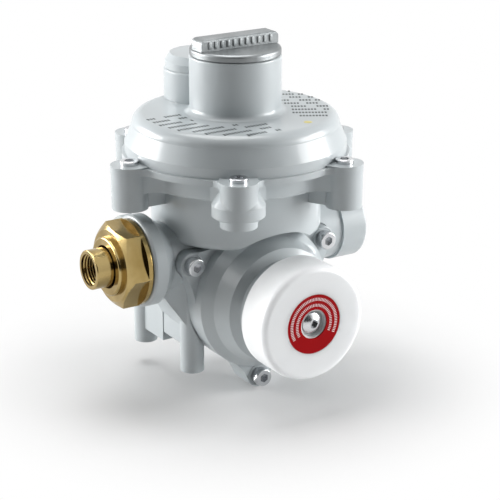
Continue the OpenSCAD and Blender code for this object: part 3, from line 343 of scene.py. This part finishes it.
# %% A pillow
def pillow(centre, half, power=4.0, around=24, rings=15):
    """p(u, v) = centre + half * (c(v) c(u), s(v), c(v) s(u)), where c and s are cosine and sine
    raised to 2 / power with their sign kept, u runs round and v from pole to pole."""
    u = np.linspace(0, 2 * np.pi, around, endpoint=False)[None, :]
    v = np.linspace(-np.pi / 2, np.pi / 2, rings)[:, None]

    def soft(value):
        return np.sign(value) * np.abs(value) ** (2 / power)

    shape = np.stack([soft(np.cos(v)) * soft(np.cos(u)), soft(np.sin(v)) * np.ones_like(u),
                      soft(np.cos(v)) * soft(np.sin(u))], axis=-1)
    return np.asarray(centre) + shape * np.asarray(half)


# %% Two rows of ribs, front and back
rib_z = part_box("top_plug")[1].z - 0.0030
rib_half = (0.00085, 0.00045, 0.0018)
bar_half_thickness = 0.0045
last_rib_x, rib_count = 0.0165, 11
for row, side in (("front", -1), ("back", 1)):
    for number, x in enumerate(np.linspace(-last_rib_x, last_rib_x, rib_count), 1):
        skin_grid(f"grip_rib_{row}_{number}",
                  pillow((x, side * bar_half_thickness, rib_z), rib_half),
                  "plug_group", plug_metal, caps=False)

# %% [markdown]
# ## Knurled heads and the rings round them
# The three front screws are cap screws, whose heads are knurled. The knurl is a band whose radius
# swells and sinks many times round, and the lug below has a low rounded ring round the head.

# %% A knurled band and a rounded ring
def knurled_band(centre, radius, low, high, teeth=36, swell=0.00013, around=288):
    """Round the axis -Y: r(u, v) = radius + proud + swell * |cos(teeth u / 2)| ** 0.8 * end(v),
    where end rises from 0 to 1 over the first sixth of the band and falls over the last. The band
    is closed by an inner wall that lies sunk inside the head."""
    proud, sunk = 2e-5, 3e-4
    u = np.linspace(0, 2 * np.pi, around, endpoint=False)[:, None]
    rows = np.linspace(0, 1, 9)
    end = np.minimum(1.0, 6 * np.minimum(rows, 1 - rows))[None, :]
    band = radius + proud + swell * np.abs(np.cos(teeth * u / 2)) ** 0.8 * end
    inner_wall = np.full((around, 1), radius - sunk)
    reach = np.concatenate([inner_wall, band, inner_wall], axis=1)
    share = np.concatenate([[0.0], rows, [1.0]])[None, :]
    depth = low + (high - low) * share * np.ones_like(reach)
    return np.asarray(centre) + np.stack([reach * np.cos(u), -depth, reach * np.sin(u)], axis=-1)


def rounded_ring(centre, radius, half_width, height, around=96):
    """Round the axis -Y: r(u, w) = radius + half_width cos w, depth = height sin w, with the
    lower half of the ring sunk in what carries it."""
    u = np.linspace(0, 2 * np.pi, around, endpoint=False)[:, None]
    w = np.linspace(0, 2 * np.pi, 16, endpoint=False)[None, :]
    reach = radius + half_width * np.cos(w)
    depth = height * np.sin(w) * np.ones_like(u)
    return np.asarray(centre) + np.stack([reach * np.cos(u), -depth, reach * np.sin(u)], axis=-1)


# %% Three front screws
head_radius = 0.00425
knurl_from, knurl_to, ring_depth = 0.0046, 0.0008, 0.0050  # all from the head's outer face
for number in (1, 2, 3):
    head_low, head_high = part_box(f"front_screw_{number}")
    centre = np.array([(head_low.x + head_high.x) / 2, 0.0, (head_low.z + head_high.z) / 2])
    skin_grid(f"knurl_{number}",
              knurled_band(centre, head_radius, -head_low.y - knurl_from, -head_low.y - knurl_to),
              "housing", steel, wrap_rows=True)
    skin_grid(f"lug_ring_{number}",
              rounded_ring(centre + (0, head_low.y + ring_depth, 0), radius=0.00535,
                           half_width=0.00045, height=0.0004),
              "housing", paint, wrap_rows=True)

# %% [markdown]
# ## Strokes on the red disc
# The disc is printed. Two rows of plain strokes stand in for the print: they say nothing, and
# leave the lower part of the disc plain.

# %% Strokes
def box_quads(count):
    """The six quads of each of count boxes. A box has eight corners, and corner 4 a + 2 b + c
    lies at the low or high end (0 or 1) of its three directions a, b and c."""
    one_box = np.array([[0, 1, 3, 2], [4, 6, 7, 5], [0, 4, 5, 1],
                        [2, 3, 7, 6], [0, 2, 6, 4], [1, 5, 7, 3]])
    return (one_box + 8 * np.arange(count)[:, None, None]).reshape(-1, 4).tolist()


def strokes(centre, inner, outer, width, angles, low, high):
    """Boxes along the radius: corner = centre + radius * out(angle) + half width * across(angle),
    for both radii, both sides and both depths, with all strokes in one array."""
    out = np.stack([np.cos(angles), np.zeros_like(angles), np.sin(angles)], axis=-1)
    across = np.stack([-np.sin(angles), np.zeros_like(angles), np.cos(angles)], axis=-1)
    radius, side, depth = np.meshgrid([inner, outer], [-width / 2, width / 2], [low, high],
                                      indexing="ij")
    corners = (out[:, None] * radius.reshape(1, 8, 1) + across[:, None] * side.reshape(1, 8, 1)
               + np.array([0.0, -1.0, 0.0]) * depth.reshape(1, 8, 1)) + np.asarray(centre)
    return corners.reshape(-1, 3), box_quads(len(angles))


# %% Two rows over the upper part of the disc
disc_low, disc_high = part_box("knob_label")
disc_centre = ((disc_low.x + disc_high.x) / 2, 0.0, (disc_low.z + disc_high.z) / 2)
ink_sunk, ink_proud = 0.0001, 0.00003
first_angle, last_angle = -28, 208
for row, inner, outer, count in (("outer", 0.0113, 0.0127, 62), ("inner", 0.0085, 0.0098, 46)):
    angles = np.radians(np.linspace(first_angle, last_angle, count))
    verts, faces = strokes(disc_centre, inner, outer, 0.00034, angles,
                           -disc_low.y - ink_sunk, -disc_low.y + ink_proud)
    add_piece(f"{row}_strokes", verts, faces, "reset_group", stroke_white)

# %% [markdown]
# ## The spring and the diaphragm
# Two pieces inside the cover change shape as the regulator works: the spring shortens, and the
# roll of the diaphragm lets its middle rise. Each is drawn in parts, and each part is given the
# two bodies it joins and two points between them, but it is only left in place and doesn't bend.

# %% The spring in two halves
def coil(radius, wire, low, high, turns, closed_rise, t):
    """p(t, w) = (r cos 2 pi t, r sin 2 pi t, z(t) + wire sin w) with r = radius + wire cos w. z
    climbs by closed_rise over the first and the last turn, and evenly between them."""
    z = np.interp(t, [0, 1, turns - 1, turns], [low, low + closed_rise, high - closed_rise, high])
    w = np.linspace(0, 2 * np.pi, 12, endpoint=False)[None, :]
    reach = radius + wire * np.cos(w)
    angle = 2 * np.pi * t[:, None]
    return np.stack([reach * np.cos(angle), reach * np.sin(angle),
                     z[:, None] + wire * np.sin(w)], axis=-1)


spring_low, spring_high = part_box("main_spring")
coil_radius, wire, closed_rise = 0.0120, 0.0011, 0.0027
turns, per_turn = 7, 32
middle_z = (spring_low.z + spring_high.z) / 2
lower_bend = ("diaphragm_group", "housing",
              (0, 0, spring_low.z + 2 * wire), (0, 0, middle_z))
upper_bend = ("housing", "seat_group",
              (0, 0, middle_z), (0, 0, spring_high.z - 2 * wire))
for half, start, bend in (("lower", 0.0, lower_bend), ("upper", turns / 2, upper_bend)):
    along = np.linspace(start, start + turns / 2, turns * per_turn // 2 + 1)
    winding = coil(coil_radius, wire, spring_low.z + wire, spring_high.z - wire, turns,
                   closed_rise, along)
    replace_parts(skin_grid(f"spring_{half}", winding, bend, steel), "main_spring")


# %% The diaphragm: middle, rim, and a roll in sectors
def turned(profile, angles):
    """p(a, k) = (r_k cos a, r_k sin a, z_k) for a closed profile of points (r_k, z_k)."""
    r, z = np.asarray(profile, float).T
    a = np.asarray(angles)[:, None]
    return np.stack([r * np.cos(a), r * np.sin(a), z * np.ones_like(a)], axis=-1)


skin_low, skin_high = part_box("main_diaphragm")
thick = 0.0014
hole, roll_in, roll_out = 0.00306, 0.0320, 0.0410
round_angles = np.linspace(0, 2 * np.pi, 96, endpoint=False)
for part, r_in, r_out, body in (("middle", hole, roll_in, "diaphragm_group"),
                                ("rim", roll_out, skin_high.x, "housing")):
    ring = [(r_in, skin_low.z), (r_out, skin_low.z),
            (r_out, skin_low.z + thick), (r_in, skin_low.z + thick)]
    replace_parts(skin_grid(f"diaphragm_{part}", turned(ring, round_angles), body, rubber,
                          wrap_rows=True), "main_diaphragm")

sweep = np.linspace(0, np.pi, 17)
half_round = np.stack([np.cos(sweep), np.sin(sweep)], axis=-1)
arch = np.concatenate([half_round * ((roll_out - roll_in + thick) / 2),
                       half_round[::-1] * ((roll_out - roll_in - thick) / 2)])
arch += ((roll_in + roll_out) / 2, skin_low.z)
sectors = 16
half_width = math.pi / sectors
for number in range(sectors):
    bearing = 2 * number * half_width
    outward = np.array([math.cos(bearing), math.sin(bearing), 0.0])
    bend = ("diaphragm_group", "housing", tuple(outward * (roll_in + thick / 2)),
            tuple(outward * (roll_out - thick / 2) * math.cos(half_width)))
    wedge = turned(arch, bearing + np.linspace(-half_width, half_width, 7))
    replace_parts(skin_grid(f"diaphragm_roll_{number + 1}", wedge, bend, rubber),
                "main_diaphragm")

# %% [markdown]
# ## Rows on the cover
# The cover's flat top is printed too. Plain upright strokes in straight rows stand in for it, in
# two blocks that are turned against each other. A slow wave leaves gaps, as between words.

# %% Rows of upright strokes
def stroke_rows(turn, step, pitch, tall, width, inner, outer, bearings, low, high):
    """Boxes at p = R(turn) * (n * step, m * pitch), kept where inner < |p| < outer, where the
    bearing of p lies within bearings and where sin(0.9 n + 2.3 m) + sin(0.37 n + m) > -0.9."""
    n, m = np.meshgrid(np.arange(-40, 41), np.arange(-8, 9), indexing="ij")
    cos, sin = math.cos(turn), math.sin(turn)
    x = n * step * cos - m * pitch * sin
    y = n * step * sin + m * pitch * cos
    from_start = (np.degrees(np.arctan2(y, x)) - bearings[0]) % 360
    far = np.hypot(x, y)
    keep = ((far > inner) & (far < outer) & (from_start < bearings[1] - bearings[0])
            & (np.sin(0.9 * n + 2.3 * m) + np.sin(0.37 * n + m) > -0.9))
    across, along, level = np.meshgrid([-width / 2, width / 2], [-tall / 2, tall / 2],
                                       [low, high], indexing="ij")
    corner = np.stack([across * cos - along * sin, across * sin + along * cos, level],
                      axis=-1).reshape(1, 8, 3)
    places = np.stack([x[keep], y[keep], np.zeros(keep.sum())], axis=-1)[:, None]
    return (places + corner).reshape(-1, 3), box_quads(len(places))


# %% Two blocks and a dot of paint
cover_top = 0.1215
for block, turn, bearings in (("left", 0.0, (163, 268)),
                              ("right", math.radians(-30), (-52, 24))):
    verts, faces = stroke_rows(turn, step=0.0015, pitch=0.0058, tall=0.0024, width=0.00095,
                               inner=0.0262, outer=0.0446, bearings=bearings,
                               low=cover_top - ink_sunk, high=cover_top + ink_proud)
    add_piece(f"cover_strokes_{block}", verts, faces, "housing", stroke_dark)

# The pillow's poles lie along y, so y and z change places to lay the dot flat on the cover.
dot_x, dot_y, dot_radius, dot_height = 0.0168, -0.0363, 0.0020, 0.00008
dot = pillow((dot_x, cover_top, dot_y), (dot_radius, dot_height, dot_radius), power=2.0)
skin_grid("yellow_dot", dot[..., [0, 2, 1]], "housing", dot_yellow, caps=False)

# %% [markdown]
# ## Floor and light
# A wide white floor keeps a soft shadow. Away from the part the lens and mirrored rays see it as
# plain white, which could also be had with a curved backdrop, but this leaves its light alone.
#
# Three large soft lamps stand left, right and overhead, and the only one on the lens's side is
# small and weak. So faces that look at the lens turn grey and the sides stay bright, which is what
# shows the roundness of white paint.

# %% Floor
floor_z = cad_low.z - 0.0003
reach = 3.0
floor_mesh = bpy.data.meshes.new("floor")
floor_mesh.from_pydata([(-reach, -reach, floor_z), (reach, -reach, floor_z),
                        (reach, reach, floor_z), (-reach, reach, floor_z)], [], [(0, 1, 2, 3)])
floor = bpy.data.objects.new("floor", floor_mesh)
bpy.context.collection.objects.link(floor)
print("floor lies at", round(floor_z, 4), "m")

# %% The floor's surface: lit near the part, white away from it
floor_white = bpy.data.materials.new("floor_white")
floor_white.use_nodes = True
ground = floor_white.node_tree
matt = ground.nodes["Principled BSDF"]
matt.inputs["Base Color"].default_value = (0.76, 0.76, 0.76, 1)
matt.inputs["Roughness"].default_value = 0.8
shine = ground.nodes.new("ShaderNodeEmission")
place = ground.nodes.new("ShaderNodeTexCoord")
how_far = ground.nodes.new("ShaderNodeVectorMath")
how_far.operation = "LENGTH"
fade = ground.nodes.new("ShaderNodeMapRange")
fade.interpolation_type = "SMOOTHSTEP"
fade.inputs["From Min"].default_value = 0.07
fade.inputs["From Max"].default_value = 0.145
fade.inputs["To Min"].default_value = 0.05
seen_by = ground.nodes.new("ShaderNodeLightPath")
seen_white = ground.nodes.new("ShaderNodeMath")
seen_white.operation = "MULTIPLY"
seen_rays = ground.nodes.new("ShaderNodeMath")
seen_rays.operation = "MAXIMUM"
lit_or_white = ground.nodes.new("ShaderNodeMixShader")
ground.links.new(place.outputs["Object"], how_far.inputs[0])
ground.links.new(how_far.outputs["Value"], fade.inputs["Value"])
ground.links.new(seen_by.outputs["Is Camera Ray"], seen_rays.inputs[0])
ground.links.new(seen_by.outputs["Is Glossy Ray"], seen_rays.inputs[1])
ground.links.new(fade.outputs["Result"], seen_white.inputs[0])
ground.links.new(seen_rays.outputs["Value"], seen_white.inputs[1])
ground.links.new(seen_white.outputs["Value"], lit_or_white.inputs["Fac"])
ground.links.new(matt.outputs["BSDF"], lit_or_white.inputs[1])
ground.links.new(shine.outputs["Emission"], lit_or_white.inputs[2])
surface = ground.nodes["Material Output"].inputs["Surface"]
ground.links.new(lit_or_white.outputs["Shader"], surface)
floor_mesh.materials.append(floor_white)
print("floor's surface has", len(ground.nodes), "nodes")

# %% Lamps
middle = (cad_low + cad_high) / 2


def soft_lamp(name, place, size, watts):
    """A square area lamp at place, turned so that its face looks at the middle of the part."""
    data = bpy.data.lights.new(name, "AREA")
    data.size = size
    data.energy = watts
    lamp = bpy.data.objects.new(name, data)
    lamp.location = place
    lamp.rotation_euler = (middle - place).to_track_quat("-Z", "Y").to_euler()
    bpy.context.collection.objects.link(lamp)
    print(name, watts, "W at", tuple(round(value, 2) for value in place))
    return lamp


soft_lamp("left_lamp", middle - 1.0 * right + 0.12 * up - 0.22 * back, size=0.7, watts=19.5)
soft_lamp("right_lamp", middle + 1.0 * right + 0.12 * up + 0.02 * back, size=0.7, watts=15.5)
soft_lamp("top_lamp", middle + Vector((0.0, 0.20, 0.98)), size=0.7, watts=7.4)
soft_lamp("high_lamp", middle - 0.85 * right + 0.45 * up + 0.40 * back, size=0.35, watts=1.0)

# %% [markdown]
# Milky plastic takes in light that paint throws back. A lamp that only the knob receives stands
# for that, and brings up the side that the inlet would leave in the shade.

# %% A lamp for the knob alone
knob_only = bpy.data.collections.new("knob_only")
knob_only.objects.link(nodes["reset_knob"])
knob_lamp = soft_lamp("knob_lamp", middle - 0.90 * right + 0.25 * back + 0.10 * up, size=0.4,
                      watts=5.0)
knob_lamp.light_linking.receiver_collection = knob_only

# %% [markdown]
# A dark card stands beyond the lens, as photographers set up for polished metal. The brass and
# the gloss paint mirror it as the dark bands that show their shape. It is a piece of a cylinder
# round the object, and rays from the lens pass through it.

# %% Dark card
card_radius, card_foot, card_top = 1.3, -0.02, 1.0
half_spread = np.radians(50)
across_count, upward_count = 33, 12
to_lens = math.atan2(back.y, back.x)
bearing, height = np.meshgrid(to_lens + np.linspace(-half_spread, half_spread, across_count),
                              np.linspace(card_foot, card_top, upward_count), indexing="ij")
card_points = np.stack([card_radius * np.cos(bearing), card_radius * np.sin(bearing), height],
                       axis=-1)
card_mesh = bpy.data.meshes.new("dark_card")
card_mesh.from_pydata(card_points.reshape(-1, 3), [],
                      grid_quads(across_count, upward_count, wrap_cols=False))
card = bpy.data.objects.new("dark_card", card_mesh)
bpy.context.collection.objects.link(card)
print("dark card has", len(card_mesh.polygons), "faces")

# %% The card's surface: black, but clear to the lens
card_black = bpy.data.materials.new("card_black")
card_black.use_nodes = True
flag = card_black.node_tree
felt = flag.nodes["Principled BSDF"]
felt.inputs["Base Color"].default_value = (0.02, 0.02, 0.02, 1)
felt.inputs["Roughness"].default_value = 0.9
clear = flag.nodes.new("ShaderNodeBsdfTransparent")
ray = flag.nodes.new("ShaderNodeLightPath")
either = flag.nodes.new("ShaderNodeMixShader")
flag.links.new(ray.outputs["Is Camera Ray"], either.inputs["Fac"])
flag.links.new(felt.outputs["BSDF"], either.inputs[1])
flag.links.new(clear.outputs["BSDF"], either.inputs[2])
flag.links.new(either.outputs["Shader"], flag.nodes["Material Output"].inputs["Surface"])
card_mesh.materials.append(card_black)
print("card's surface has", len(flag.nodes), "nodes")

# %% [markdown]
# The world is nearly dark, so that the lamps shape the part. To the lens, and to rays that are
# mirrored or pass through, it is white: the backdrop stays clean and metal has something bright
# to mirror.

# %% World
world = bpy.data.worlds.new("studio")
bpy.context.scene.world = world
world.use_nodes = True
sky = world.node_tree
sky.nodes.clear()
path = sky.nodes.new("ShaderNodeLightPath")
seen = sky.nodes.new("ShaderNodeMath")
seen.operation = "MAXIMUM"
seen_any = sky.nodes.new("ShaderNodeMath")
seen_any.operation = "MAXIMUM"
plain = sky.nodes.new("ShaderNodeBackground")
plain.inputs["Color"].default_value = (1, 1, 1, 1)
plain.inputs["Strength"].default_value = 0.02
white = sky.nodes.new("ShaderNodeBackground")
white.inputs["Color"].default_value = (1, 1, 1, 1)
white.inputs["Strength"].default_value = 1.0
choose = sky.nodes.new("ShaderNodeMixShader")
sky_out = sky.nodes.new("ShaderNodeOutputWorld")
sky.links.new(path.outputs["Is Camera Ray"], seen.inputs[0])
sky.links.new(path.outputs["Is Glossy Ray"], seen.inputs[1])
sky.links.new(seen.outputs["Value"], seen_any.inputs[0])
sky.links.new(path.outputs["Is Transmission Ray"], seen_any.inputs[1])
sky.links.new(seen_any.outputs["Value"], choose.inputs["Fac"])
sky.links.new(plain.outputs["Background"], choose.inputs[1])
sky.links.new(white.outputs["Background"], choose.inputs[2])
sky.links.new(choose.outputs["Shader"], sky_out.inputs["Surface"])
bpy.context.scene.view_settings.view_transform = "Standard"
print("world", world.name, "with", len(sky.nodes), "nodes")
